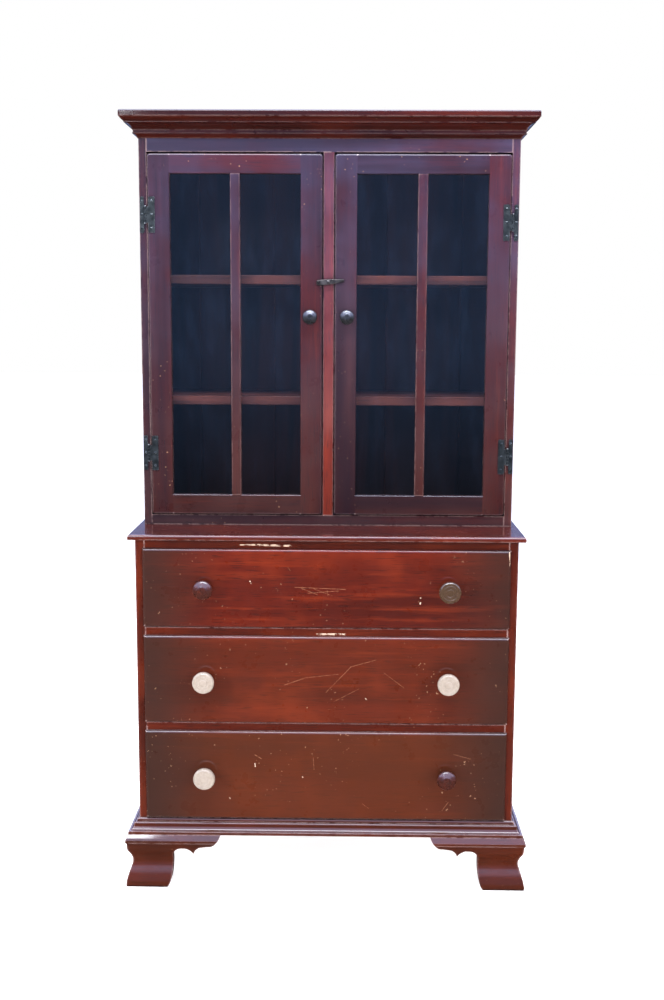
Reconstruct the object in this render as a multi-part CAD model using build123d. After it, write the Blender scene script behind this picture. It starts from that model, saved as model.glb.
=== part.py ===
from build123d import *
import os

# China cabinet: a chest of three lipped drawers on ogee bracket feet, and a shallower
# glazed case standing on it. Millimetres, +Z up, the front looks along -Y, +X is to the
# viewer's right. The origin is on the floor under the centre of the whole object's box.

# ---- overall sizes ----
case_width = 914.0
case_depth = 457.0
chest_height = 862.0
overall_height = 1870.0
set_back = 146.0
knob_projection = 36.0
lip_thickness = 8.0
knob_reach = lip_thickness + knob_projection
half_width = case_width / 2

# depth planes
chest_front = (knob_reach - case_depth) / 2
back = chest_front + case_depth
upper_front = chest_front + set_back

# ---- chest ----
chest_side_thickness = 22.0
chest_inner = half_width - chest_side_thickness
foot_height = 133.0
top_rail_height = 25.0
divider_height = 24.0
divider_depth = 60.0
rail_thickness = 22.0
opening_bottoms = {"drawer_top": 648.5, "drawer_middle": 411.5, "drawer_bottom": 168.5}
opening_heights = {"drawer_top": 188.5, "drawer_middle": 213.0, "drawer_bottom": 219.0}
back_rebate = 9.0
chest_back_thickness = 6.0
chest_floor_thickness = 12.0
runner_width = 20.0
corner_round = 1.5
divider_round = 1.0

# ---- waist board and base moulding ----
waist_thickness = 13.0
waist_overhang = 16.0
waist_top_round = 6.5
waist_under_round = 3.0
base_moulding_height = 35.0
base_moulding_reach = 25.0

# ---- feet ----
foot_inset = 4.0
foot_reach = 31.0
side_bracket_stretch = 0.62
rear_brace_thickness = 20.0
rear_brace_top = 140.0
rear_brace_bottom = 62.0
glue_block = 30.0
glue_block_lift = 3.0

# ---- drawers ----
lip_overlap = 4.0
lip_clearance = 0.4
lip_radius = 6.0
drawer_clearance = 1.5
front_inner_thickness = 12.0
drawer_side_thickness = 12.0
drawer_back_edge = 412.0
drawer_side_drop = 8.0
drawer_bottom_thickness = 6.0
drawer_bottom_lift = 10.0
groove_depth = 6.0
tail_length = 8.0
tail_base = 16.0
tail_end = 23.0
tail_pitch = 42.0
knob_x = 293.0
tenon_radius = 4.9
tenon_hole_radius = 5.0
tenon_length = 13.0
dome_knob_radius = 23.5
flat_knob_radius = 26.0

# ---- upper case ----
upper_side_thickness = 19.0
upper_inner = half_width - upper_side_thickness
upper_base = chest_height + waist_thickness
frame_thickness = 19.0
bottom_rail_top = 900.0
top_rail_bottom = 1778.0
cap_thickness = 14.0
cap_reach = 41.0
cap_corner_round = 4.0
cap_nose_round = 3.8
cap_bottom = overall_height - cap_thickness
cornice_bottom = 1809.0
mullion_half = 13.0
mullion_front_depth = 16.5
mullion_stop_half = 23.0
mullion_depth = 26.0
mullion_round = 1.0
back_board_thickness = 10.0
back_board_count = 9
back_board_bevel = 2.0
shelf_thickness = 22.0
shelf_round = 2.0
shelf_tops = {"shelf_lower": 1194.0, "shelf_upper": 1489.0}
shelf_front = upper_front + mullion_depth + 1.0
cleat_width = 12.0
cleat_height = 19.0
board_thickness = 18.0
ceiling_bottom = 1800.0

# ---- doors ----
door_proud = 6.0
door_thickness = 22.0
door_outer = 436.5
door_inner = 15.0
door_bottom = 902.0
door_top = 1774.0
stile_width = 53.0
door_top_rail = 47.0
door_bottom_rail = 49.0
muntin_width = 24.0
rebate_width = 8.0
lip_depth = 10.0
glass_thickness = 3.0
bead_width = 7.5
bead_depth = 8.0
door_corner_radius = 7.0
door_edge_radius = 4.5
sticking_radius = 2.5
door_front = upper_front - door_proud
door_back = door_front + door_thickness
door_knob_x = 45.0
door_knob_z = 1387.5
door_knob_radius = 17.75
door_knob_projection = 26.0

# ---- hinges ----
hinge_axis_x = 442.5
barrel_radius = 3.0
hinge_plate = 1.6
hinge_axis_y = upper_front - hinge_plate - barrel_radius
leaf_height = 85.0
barrel_height = 38.0
knuckle_count = 5
knuckle_gap = 0.2
pin_radius = 1.6
pin_clearance = 0.05
pin_head_radius = 2.6
frame_leaf_outer = 455.5
door_leaf_near = 434.5
door_leaf_far = 419.0
leaf_gap = 0.4
web_reach = 2.6
screw_radius = 1.7
screw_head_radius = 3.1
screw_length = 12.0
screw_spacing = 32.0
hinge_heights = {"left": (1054.0, 1630.0), "right": (1049.0, 1614.0)}

# ---- turn button ----
button_z = 1472.0
button_long_arm = 38.0
button_short_arm = 30.0
button_tilt = 5.0
button_thickness = 4.0
button_gap = 0.8
button_boss_radius = 6.0
button_screw_radius = 2.0
button_screw_clearance = 0.06
button_screw_head = 4.6


def block(x0, x1, y0, y1, z0, z1):
    """A board given by its lowest and highest corners."""
    centre = Pos((x0 + x1) / 2, (y0 + y1) / 2, (z0 + z1) / 2)
    return centre * Box(abs(x1 - x0), abs(y1 - y0), abs(z1 - z0))


def mirrored(shape):
    """The same piece on the other side of the centre line."""
    return shape.mirror(Plane.YZ)


def plan_prism(points, z0, z1):
    """A prism over a polygon drawn in plan."""
    face = make_face(Polyline(*[(x, y, z0) for x, y in points], close=True))
    return extrude(face, amount=z1 - z0, dir=(0, 0, 1))


def edges_at(shape, axis, value):
    """The edges that lie wholly at one value along an axis, within a hundredth."""
    return shape.edges().filter_by_position(axis, value - 0.01, value + 0.01)


def save(name, *shapes):
    """Write one node: a single solid, or a group of separate like solids."""
    solids = [solid for shape in shapes for solid in shape.solids()]
    whole = solids[0] if len(solids) == 1 else Compound(children=solids)
    export_step(whole, "parts/" + name + ".step")


# ---------------------------------------------------------------- mouldings

def mitred_run(profile, front_y, back_y, reach, inset=0.0):
    """A moulding round the front and two sides, mitred at both front corners.

    profile(plane) gives the section's face on a plane whose X points away from the case.
    """
    far = reach + 1
    start = (half_width + far, front_y, 0)
    front_plane = Plane(origin=start, x_dir=(0, -1, 0), z_dir=(-1, 0, 0))
    front = extrude(profile(front_plane), amount=2 * (half_width + far))
    front_plan = [
        (-half_width - far, front_y - far),
        (half_width + far, front_y - far),
        (half_width - inset, front_y + inset),
        (-half_width + inset, front_y + inset),
    ]
    front = front & plan_prism(front_plan, 0, overall_height)
    side_plane = Plane(origin=(-half_width, front_y - far, 0), x_dir=(-1, 0, 0), z_dir=(0, 1, 0))
    side = extrude(profile(side_plane), amount=back_y - front_y + far)
    side_plan = [
        (-half_width - far, front_y - far),
        (-half_width + inset, front_y + inset),
        (-half_width + inset, back_y),
        (-half_width - far, back_y),
    ]
    side = side & plan_prism(side_plan, 0, overall_height)
    return front, side, mirrored(side)


def base_profile(plane):
    """Base moulding: square nose, cove, step, ovolo, quirk and top bead."""
    z = foot_height
    nose = base_moulding_reach
    with BuildSketch(plane) as section:
        with BuildLine():
            Polyline((0, z + base_moulding_height), (0, z), (nose, z), (nose, z + 6))
            ThreePointArc((nose, z + 6), (24.4, z + 7.4), (23, z + 8))
            Line((23, z + 8), (20, z + 8))
            ThreePointArc((20, z + 8), (14.6, z + 12.2), (12, z + 19.5))
            Line((12, z + 19.5), (12, z + 21.5))
            ThreePointArc((12, z + 21.5), (10.8, z + 25), (7.5, z + 26.5))
            Polyline((7.5, z + 26.5), (5.5, z + 26.5), (5.5, z + 29))
            ThreePointArc((5.5, z + 29), (4.2, z + 33), (0.8, z + 35))
            Line((0.8, z + 35), (0, z + base_moulding_height))
        make_face()
    return section.sketch


def cornice_profile(plane):
    """Cornice: small cove, fascia, large cove, step and a sprung ogee under the cap."""
    z = cornice_bottom
    with BuildSketch(plane) as section:
        with BuildLine():
            Polyline((0, cap_bottom), (0, z), (1.5, z))
            ThreePointArc((1.5, z), (5.2, z + 6.8), (12.5, z + 10))
            Polyline((12.5, z + 10), (12.5, z + 11.5), (10.8, z + 11.5))
            Polyline((10.8, z + 11.5), (10.8, z + 18.5), (12.3, z + 18.5))
            ThreePointArc((12.3, z + 18.5), (17.4, z + 28.6), (27.5, z + 33.5))
            Polyline((27.5, z + 33.5), (29.5, z + 33.5), (29.5, z + 35))
            Spline(
                (29.5, z + 35), (35.2, z + 40), (cap_reach, cap_bottom),
                tangents=[(0.55, 0.85), (0.75, 0.65)],
            )
            Line((cap_reach, cap_bottom), (0, cap_bottom))
        make_face()
    return section.sketch


def cornice_cap():
    """Top board with a rounded nose on the front and sides."""
    front_y = upper_front - cap_reach
    reach = half_width + cap_reach
    cap = block(-reach, reach, front_y, back, cap_bottom, overall_height)
    corners = [e for e in cap.edges().filter_by(Axis.Z) if e.center().Y < front_y + 1]
    cap = fillet(corners, cap_corner_round)
    top = [e for e in edges_at(cap, Axis.Z, overall_height) if e.center().Y < back - 1]
    return fillet(top, cap_nose_round)


def waist_board():
    """The thin board between chest and upper case, with a thumb-moulded edge."""
    front_y = chest_front - waist_overhang
    reach = half_width + waist_overhang
    board = block(-reach, reach, front_y, back, chest_height, upper_base)
    top = [e for e in edges_at(board, Axis.Z, upper_base) if e.center().Y < back - 1]
    board = fillet(top, waist_top_round)
    under = [e for e in edges_at(board, Axis.Z, chest_height) if e.center().Y < back - 1]
    return fillet(under, waist_under_round)


# ---------------------------------------------------------------- feet

def foot_profile(plane):
    """Ogee section of a bracket foot: swelling above, hollow ankle, flared toe."""
    top = foot_height
    with BuildSketch(plane) as section:
        with BuildLine():
            Polyline((24.5, top), (-foot_inset, top), (-foot_inset, 0), (29.5, 0))
            Spline(
                (29.5, 0), (foot_reach, 7), (29.2, 19), (22, 42), (16, 62),
                (20, 80), (28.5, 99), (29.8, 112), (24.5, top),
                tangents=[(1, 1), (-0.6, 1)],
            )
        make_face()
    return section.sketch


def bracket_outline(plane, stretch):
    """Cut-out shape of a bracket: flared leg, rounded throat, spur and stepped wing.

    Local X runs from the case's corner along the bracket, local Y is height over the floor.
    stretch shortens what lies beyond the leg.
    """
    leg = 84.0

    def at(s, down):
        along = s if s <= leg else leg + (s - leg) * stretch
        return (along, foot_height - down)

    with BuildSketch(plane) as outline:
        with BuildLine():
            Spline(at(70, 133), at(77, 121), at(82, 98), at(84, 54), tangents=[(0.6, 1), (0, 1)])
            ThreePointArc(at(84, 54), at(90, 40), at(104, 34))
            Line(at(104, 34), at(114, 34))
            ThreePointArc(at(114, 34), at(126, 39.5), at(134.5, 51))
            ThreePointArc(at(134.5, 51), at(139.5, 39), at(150, 31.5))
            Line(at(150, 31.5), at(170, 29))
            ThreePointArc(at(170, 29), at(184, 25.5), at(190, 18.5))
            ThreePointArc(at(190, 18.5), at(196.5, 10.5), at(201, 0))
            Polyline(at(201, 0), (-60, foot_height), (-60, 0), at(70, 133))
        make_face()
    return outline.sketch


def feet():
    """Front feet are mitred pairs of brackets, rear feet a bracket and a plain brace."""
    front, left, right = mitred_run(foot_profile, chest_front, back, foot_reach, foot_inset)
    depth = 2 * foot_reach + 60
    corner = (-half_width, chest_front - depth / 2, 0)
    face_plane = Plane(origin=corner, x_dir=(1, 0, 0), z_dir=(0, -1, 0))
    face_cut = extrude(bracket_outline(face_plane, 1.0), amount=depth / 2, both=True)
    side_x = -half_width
    near_plane = Plane(origin=(side_x, chest_front, 0), x_dir=(0, 1, 0), z_dir=(1, 0, 0))
    near_cut = extrude(bracket_outline(near_plane, side_bracket_stretch), amount=depth / 2, both=True)
    far_plane = Plane(origin=(side_x, back, 0), x_dir=(0, -1, 0), z_dir=(-1, 0, 0))
    far_cut = extrude(bracket_outline(far_plane, side_bracket_stretch), amount=depth / 2, both=True)
    face = front & Pos(0, depth / 2, 0) * face_cut
    near_return = left & near_cut
    rear_bracket = left & far_cut
    inner = -half_width + foot_inset
    brace_plane = Plane(origin=(inner, back, 0), x_dir=(1, 0, 0), z_dir=(0, -1, 0))
    with BuildSketch(brace_plane) as brace_face:
        with BuildLine():
            Polyline((0, 0), (rear_brace_bottom, 0), (rear_brace_bottom + 8, 60))
            RadiusArc((rear_brace_bottom + 8, 60), (rear_brace_top, foot_height), -110)
            Polyline((rear_brace_top, foot_height), (0, foot_height), (0, 0))
        make_face()
    brace = extrude(brace_face.sketch, amount=rear_brace_thickness)
    save("foot_front_left", face, near_return)
    save("foot_front_right", mirrored(face), mirrored(near_return))
    save("foot_rear_left", rear_bracket, brace)
    save("foot_rear_right", mirrored(rear_bracket), mirrored(brace))
    posts = []
    for y in (chest_front + foot_inset, back - rear_brace_thickness - glue_block):
        posts.append(block(inner, inner + glue_block, y, y + glue_block, glue_block_lift, foot_height))
    save("foot_glue_blocks", *posts, *[mirrored(post) for post in posts])


# ---------------------------------------------------------------- chest

def chest():
    """Sides, rails, back, floor and the runners that carry the drawers."""
    rebate_front = back - chest_back_thickness
    side = block(-half_width, -chest_inner, chest_front, back, foot_height, chest_height)
    front_edges = [
        e for e in side.edges().filter_by(Axis.Z)
        if abs(e.center().Y - chest_front) < 0.01 and e.center().X < -half_width + 1
    ]
    side = fillet(front_edges, corner_round)
    side -= block(-chest_inner - back_rebate, -chest_inner, rebate_front, back,
                  foot_height, chest_height)
    save("chest_side_left", side)
    save("chest_side_right", mirrored(side))

    rail_back = chest_front + rail_thickness
    lowest = opening_bottoms["drawer_bottom"]
    save("chest_top_rail", block(-chest_inner, chest_inner, chest_front, rail_back,
                                 chest_height - top_rail_height, chest_height))
    save("chest_bottom_rail", block(-chest_inner, chest_inner, chest_front, rail_back,
                                    foot_height, lowest))
    dividers = []
    for name in ("drawer_top", "drawer_middle"):
        top = opening_bottoms[name]
        divider = block(-chest_inner, chest_inner, chest_front, chest_front + divider_depth,
                        top - divider_height, top)
        dividers.append(fillet(edges_at(divider, Axis.Y, chest_front).filter_by(Axis.X), divider_round))
    save("chest_divider_rails", *dividers)

    panel = chest_inner + back_rebate
    save("chest_back", block(-panel, panel, rebate_front, back, foot_height, chest_height))
    floor_top = foot_height + chest_floor_thickness
    save("chest_floor", block(-chest_inner, chest_inner, rail_back, rebate_front,
                              foot_height, floor_top))

    runners = []
    near = chest_inner - runner_width
    for name in ("drawer_top", "drawer_middle"):
        top = opening_bottoms[name]
        runners.append(block(near, chest_inner, chest_front + divider_depth, rebate_front,
                             top - divider_height, top))
    runners.append(block(near, chest_inner, rail_back, rebate_front, floor_top, lowest))
    runners.append(block(near, chest_inner, rail_back, rebate_front,
                         chest_height - top_rail_height, chest_height))
    save("drawer_runners", *runners, *[mirrored(runner) for runner in runners])


# ---------------------------------------------------------------- knobs

def turned(points_builder):
    """Revolve a half section about the knob's axis, which points out of the front (-Y)."""
    with BuildSketch(Plane.XY) as section:
        with BuildLine():
            points_builder()
        make_face()
    return revolve(section.sketch, Axis.Y, 360)


def dome_knob(radius, projection):
    """A mushroom knob: collar, waisted neck and domed head."""
    r = radius
    p = projection

    def half():
        Polyline((0, -p), (0, 0), (0.46 * r, 0), (0.46 * r, -0.07 * p))
        Spline((0.46 * r, -0.07 * p), (0.37 * r, -0.24 * p), (0.44 * r, -0.4 * p), (0.8 * r, -0.52 * p),
               (r, -0.66 * p), tangents=[(-0.6, -1), (0.1, -1)])
        Spline((r, -0.66 * p), (0.9 * r, -0.82 * p), (0.55 * r, -0.95 * p), (0, -p),
               tangents=[(0, -1), (-1, 0)])
    return turned(half)


def flat_knob(radius, projection):
    """A turned knob with a nearly flat face and two shallow rings cut in it."""
    r = radius
    p = projection
    ring_half = 0.9
    ring_depth = 0.6

    def half():
        Polyline((0, -p), (0, 0), (0.46 * r, 0), (0.46 * r, -0.08 * p))
        Spline((0.46 * r, -0.08 * p), (0.36 * r, -0.28 * p), (0.45 * r, -0.45 * p), (0.82 * r, -0.6 * p),
               (r, -0.78 * p), tangents=[(-0.6, -1), (0, -1)])
        ThreePointArc((r, -0.78 * p), (0.975 * r, -0.93 * p), (0.89 * r, -p))
        start = 0.89 * r
        for ring in (0.66 * r, 0.36 * r):
            Line((start, -p), (ring + ring_half, -p))
            ThreePointArc((ring + ring_half, -p), (ring, ring_depth - p), (ring - ring_half, -p))
            start = ring - ring_half
        Line((start, -p), (0, -p))
    return turned(half)


def tenoned(knob, x, face_y, z):
    """Place a knob on a face, with the tenon that is glued into it."""
    tenon = Pos(0, tenon_length / 2, 0) * Rot(90, 0, 0) * Cylinder(tenon_radius, tenon_length)
    return Pos(x, face_y, z) * (knob + tenon)


def tenon_hole(x, face_y, z):
    """The hole that a knob's tenon sits in."""
    centre = Pos(x, face_y + tenon_length / 2, z)
    return centre * Rot(90, 0, 0) * Cylinder(tenon_hole_radius, tenon_length)


# ---------------------------------------------------------------- drawers

def dovetails(side_bottom, side_top):
    """Tails at the front end of a drawer side, lapped into the back of the front."""
    outer = chest_inner - drawer_clearance
    inner = outer - drawer_side_thickness
    root_y = chest_front + front_inner_thickness
    height = side_top - side_bottom
    count = int(height // tail_pitch)
    tails = []
    for i in range(count):
        z = side_bottom + height * (i + 0.5) / count
        with BuildSketch(Plane(origin=(inner, root_y, z), x_dir=(0, -1, 0), z_dir=(-1, 0, 0))) as tail:
            with BuildLine():
                Polyline((0, -tail_base / 2), (tail_length, -tail_end / 2),
                         (tail_length, tail_end / 2), (0, tail_base / 2), (0, -tail_base / 2))
            make_face()
        tails.append(extrude(tail.sketch, amount=-drawer_side_thickness))
    return tails


def drawer(name):
    """One drawer: lipped front, dovetailed sides, back, and a bottom in grooves."""
    opening_z = opening_bottoms[name]
    height = opening_heights[name]
    root_y = chest_front + front_inner_thickness
    end_y = chest_front + drawer_back_edge
    outer = chest_inner - drawer_clearance
    inner = outer - drawer_side_thickness
    face_y = chest_front - lip_thickness
    lip_x = chest_inner + lip_overlap
    low = opening_z + drawer_clearance
    lip_top = opening_z + height + lip_overlap

    lip = block(-lip_x, lip_x, face_y, chest_front - lip_clearance, low, lip_top)
    lip = fillet(edges_at(lip, Axis.Y, face_y), lip_radius)
    front = lip + block(-outer, outer, chest_front - lip_clearance, root_y,
                        low, opening_z + height - drawer_clearance)

    side_bottom = opening_z + 0.5
    side_top = opening_z + height - drawer_side_drop
    side = block(inner, outer, root_y, end_y, side_bottom, side_top)
    tails = dovetails(side_bottom, side_top)
    for tail in tails:
        side += tail
        front -= tail
        front -= mirrored(tail)
    panel_low = side_bottom + drawer_bottom_lift
    panel_high = panel_low + drawer_bottom_thickness
    side -= block(inner, inner + groove_depth, root_y - groove_depth - 4, end_y, panel_low, panel_high)
    front -= block(-inner - groove_depth, inner + groove_depth, root_y - groove_depth, root_y,
                   panel_low, panel_high)
    rear = block(-inner, inner, end_y - drawer_side_thickness, end_y, panel_high, side_top - 6)
    edge = inner + groove_depth - 0.5
    bottom = block(-edge, edge, root_y - groove_depth + 0.5, end_y, panel_low, panel_high)

    knob_z = (low + lip_top) / 2
    for x in (-knob_x, knob_x):
        front -= tenon_hole(x, face_y, knob_z)
    save(name + "_front", front)
    save(name + "_box", side, mirrored(side), rear)
    save(name + "_bottom", bottom)
    return face_y, knob_z


def drawers():
    """The three drawers and their knobs, two of them of a later pattern."""
    dome = dome_knob(dome_knob_radius, knob_projection)
    disc = flat_knob(flat_knob_radius, knob_projection)
    face_y, z = drawer("drawer_top")
    save("drawer_top_knobs", tenoned(dome, -knob_x, face_y, z), tenoned(disc, knob_x, face_y, z))
    face_y, z = drawer("drawer_middle")
    save("drawer_middle_knobs", tenoned(disc, -knob_x, face_y, z), tenoned(disc, knob_x, face_y, z))
    face_y, z = drawer("drawer_bottom")
    save("drawer_bottom_knob_left", tenoned(disc, -knob_x, face_y, z))
    save("drawer_bottom_knob_right", tenoned(dome, knob_x, face_y, z))


# ---------------------------------------------------------------- hinges

def hinge_screw(x, face_y, z):
    """A countersunk wood screw whose slightly domed head is at face_y."""
    with BuildSketch(Plane.XY) as section:
        with BuildLine():
            Polyline((0, -0.7), (0, screw_length), (0.6, screw_length), (screw_radius, screw_length - 3),
                     (screw_radius, 1.2), (screw_head_radius, 0))
            ThreePointArc((screw_head_radius, 0), (screw_head_radius * 0.55, -0.5), (0, -0.7))
        make_face()
    return Pos(x, face_y, z) * revolve(section.sketch, Axis.Y, 360)


def slotted(screw, x, face_y, z):
    """The same screw with its driver slot."""
    return screw - Pos(x, face_y - 0.5, z) * Rot(0, 25, 0) * Box(7, 0.9, 0.9)


def knuckle_spans(z, own):
    """Height ranges of one leaf's knuckles: own is true for the outer and middle ones."""
    pitch = barrel_height / knuckle_count
    low = z - barrel_height / 2
    spans = []
    for i in range(knuckle_count):
        if (i % 2 == 0) == own:
            spans.append((low + i * pitch + knuckle_gap / 2, low + (i + 1) * pitch - knuckle_gap / 2))
    return spans


def upright(radius, x, y, z0, z1):
    """A vertical round bar."""
    return Pos(x, y, (z0 + z1) / 2) * Cylinder(radius, z1 - z0)


def frame_leaf(z):
    """Leaf on the case side, left hand: a plate, webs and three knuckles.

    The webs stay inside the barrel's width, clear of the door leaf when it folds back.
    """
    bar = barrel_radius + leaf_gap
    plate = block(-frame_leaf_outer, -hinge_axis_x - bar, upper_front - hinge_plate, upper_front,
                  z - leaf_height / 2, z + leaf_height / 2)
    plate = fillet(plate.edges().filter_by(Axis.Y), 1.5)
    for z0, z1 in knuckle_spans(z, True):
        plate += block(-hinge_axis_x - bar - 1, -hinge_axis_x, upper_front - hinge_plate, upper_front,
                       z0, z1)
        plate += block(-hinge_axis_x - web_reach, -hinge_axis_x, hinge_axis_y, upper_front, z0, z1)
        plate += upright(barrel_radius, -hinge_axis_x, hinge_axis_y, z0, z1)
    return plate - upright(pin_radius, -hinge_axis_x, hinge_axis_y, z - leaf_height, z + leaf_height)


def door_leaf(z):
    """Leaf on the door, left hand: a stepped plate over the door's edge and two knuckles."""
    bar = barrel_radius + leaf_gap
    near = -hinge_axis_x + bar
    outer_y = door_front - hinge_plate
    plate = block(-door_leaf_near, -door_leaf_far, outer_y, door_front,
                  z - leaf_height / 2, z + leaf_height / 2)
    plate = fillet(plate.edges().filter_by(Axis.Y), 1.5)
    half_bar = barrel_height / 2 - knuckle_gap
    plate += block(near, -door_leaf_near + 1, outer_y, door_front, z - half_bar, z + half_bar)
    for z0, z1 in knuckle_spans(z, False):
        plate += block(-hinge_axis_x, near + 1, outer_y, door_front, z0, z1)
        plate += upright(barrel_radius, -hinge_axis_x, hinge_axis_y, z0, z1)
    return plate - upright(pin_radius + pin_clearance, -hinge_axis_x, hinge_axis_y,
                           z - leaf_height, z + leaf_height)


def hinge_pin(z):
    """Hinge pin with a small button head at each end."""
    half = barrel_height / 2
    pin = upright(pin_radius, -hinge_axis_x, hinge_axis_y, z - half - 1, z + half + 1)
    for end in (-1, 1):
        head_z = z + end * (half + 1.2)
        head = upright(pin_head_radius, -hinge_axis_x, hinge_axis_y, head_z - 1.1, head_z + 1.1)
        pin += fillet(head.edges(), 0.9)
    return pin


def screw_places(z):
    """Heights of a leaf's three screws."""
    return [z - screw_spacing, z, z + screw_spacing]


def hinges(side):
    """All pieces of one side's two hinges, drawn on the left and mirrored for the right."""
    frame_x = -(frame_leaf_outer + hinge_axis_x + barrel_radius + leaf_gap) / 2
    door_x = -(door_leaf_near + door_leaf_far) / 2
    frame_face = upper_front - hinge_plate
    door_face = door_front - hinge_plate
    place = (lambda shape: shape) if side == "left" else mirrored
    pieces = {"frame_leaves": [], "door_leaves": [], "pins": [], "frame_screws": [], "door_screws": [],
              "frame_cuts": [], "door_cuts": []}
    for z in hinge_heights[side]:
        on_frame = frame_leaf(z)
        on_door = door_leaf(z)
        for screw_z in screw_places(z):
            frame_screw = hinge_screw(frame_x, frame_face, screw_z)
            door_screw = hinge_screw(door_x, door_face, screw_z)
            on_frame -= frame_screw
            on_door -= door_screw
            pieces["frame_cuts"].append(place(frame_screw))
            pieces["door_cuts"].append(place(door_screw))
            pieces["frame_screws"].append(place(slotted(frame_screw, frame_x, frame_face, screw_z)))
            pieces["door_screws"].append(place(slotted(door_screw, door_x, door_face, screw_z)))
        pieces["frame_leaves"].append(place(on_frame))
        pieces["door_leaves"].append(place(on_door))
        pieces["pins"].append(place(hinge_pin(z)))
    return pieces


# ---------------------------------------------------------------- upper case

def back_boards():
    """Vertical boards with a V joint between neighbours."""
    reach = upper_inner + back_rebate
    width = 2 * reach / back_board_count
    front_y = back - back_board_thickness
    bevel = back_board_bevel
    boards = []
    for i in range(back_board_count):
        x0 = -reach + i * width
        x1 = x0 + width
        plan = [(x0, back), (x0, front_y + bevel), (x0 + bevel, front_y), (x1 - bevel, front_y),
                (x1, front_y + bevel), (x1, back)]
        boards.append(plan_prism(plan, upper_base, cap_bottom))
    return boards


def upper_case(left_cuts, right_cuts, button_screw):
    """Sides, rails, mullion, boards, shelves and cleats of the glazed case."""
    rebate_front = back - back_board_thickness
    side = block(-half_width, -upper_inner, upper_front, back, upper_base, cap_bottom)
    front_edges = [
        e for e in side.edges().filter_by(Axis.Z)
        if abs(e.center().Y - upper_front) < 0.01 and e.center().X < -half_width + 1
    ]
    side = fillet(front_edges, corner_round)
    side -= block(-upper_inner - back_rebate, -upper_inner, rebate_front, back,
                  upper_base, cap_bottom)
    left = side
    right = mirrored(side)
    for cut in left_cuts:
        left -= cut
    for cut in right_cuts:
        right -= cut
    save("upper_side_left", left)
    save("upper_side_right", right)

    frame_back = upper_front + frame_thickness
    save("upper_top_rail", block(-upper_inner, upper_inner, upper_front, frame_back,
                                 top_rail_bottom, cap_bottom))
    save("upper_bottom_rail", block(-upper_inner, upper_inner, upper_front, frame_back,
                                    upper_base, bottom_rail_top))
    mullion = block(-mullion_half, mullion_half, upper_front, upper_front + mullion_front_depth,
                    bottom_rail_top, top_rail_bottom)
    mullion = fillet(edges_at(mullion, Axis.Y, upper_front).filter_by(Axis.Z), mullion_round)
    stop_front = upper_front + mullion_front_depth
    stop_back = upper_front + mullion_depth
    mullion += block(-mullion_stop_half, mullion_stop_half, stop_front, stop_back,
                     bottom_rail_top, top_rail_bottom)
    save("centre_mullion", mullion - button_screw)
    save("upper_floor_board", block(-upper_inner, upper_inner, frame_back, rebate_front,
                                    bottom_rail_top - board_thickness, bottom_rail_top))
    save("upper_top_board", block(-upper_inner, upper_inner, frame_back, rebate_front,
                                  ceiling_bottom, ceiling_bottom + board_thickness))
    save("upper_back_boards", *back_boards())

    cleats = []
    for name, top in shelf_tops.items():
        under = top - shelf_thickness
        shelf = block(-upper_inner + 0.5, upper_inner - 0.5, shelf_front, rebate_front, under, top)
        save(name, fillet(edges_at(shelf, Axis.Y, shelf_front).filter_by(Axis.X), shelf_round))
        cleat = block(-upper_inner, -upper_inner + cleat_width, shelf_front + 8, rebate_front,
                      under - cleat_height, under)
        cleats.append(cleat)
        cleats.append(mirrored(cleat))
    save("shelf_cleats", *cleats)


# ---------------------------------------------------------------- doors

def pane_spans():
    """The two sight openings of the left door along X."""
    left = -door_outer + stile_width
    right = -door_inner - stile_width
    middle = (left + right) / 2
    return [(left, middle - muntin_width / 2), (middle + muntin_width / 2, right)]


def door_blank():
    """The left door's whole frame before it is parted into stiles, rails and muntin."""
    sight_low = door_bottom + door_bottom_rail
    sight_high = door_top - door_top_rail
    glass_front = door_front + lip_depth
    blank = block(-door_outer, -door_inner, door_front, door_back, door_bottom, door_top)
    blank = fillet(blank.edges().filter_by(Axis.Y), door_corner_radius)
    blank = fillet(edges_at(blank, Axis.Y, door_front), door_edge_radius)
    for x0, x1 in pane_spans():
        blank -= block(x0, x1, door_front - 1, door_back + 1, sight_low, sight_high)
        blank -= block(x0 - rebate_width, x1 + rebate_width, glass_front, door_back + 1,
                       sight_low - rebate_width, sight_high + rebate_width)
    inner = [
        e for e in edges_at(blank, Axis.Y, door_front)
        if sight_low - 1 < e.center().Z < sight_high + 1
        and -door_outer + stile_width - 1 < e.center().X < -door_inner - stile_width + 1
    ]
    return fillet(inner, sticking_radius)


def glazing():
    """Panes and the beads that hold them, for the left door."""
    sight_low = door_bottom + door_bottom_rail
    sight_high = door_top - door_top_rail
    glass_front = door_front + lip_depth
    glass_back = glass_front + glass_thickness
    panes = []
    beads = []
    for x0, x1 in pane_spans():
        left = x0 - rebate_width + 0.5
        right = x1 + rebate_width - 0.5
        low = sight_low - rebate_width + 0.5
        high = sight_high + rebate_width - 0.5
        panes.append(block(left, right, glass_front, glass_back, low, high))
        bead_back = glass_back + bead_depth
        for z in (low, high - bead_width):
            beads.append(block(left, right, glass_back, bead_back, z, z + bead_width))
        for x in (left, right - bead_width):
            beads.append(block(x, x + bead_width, glass_back, bead_back,
                               low + bead_width, high - bead_width))
    return panes, beads


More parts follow.
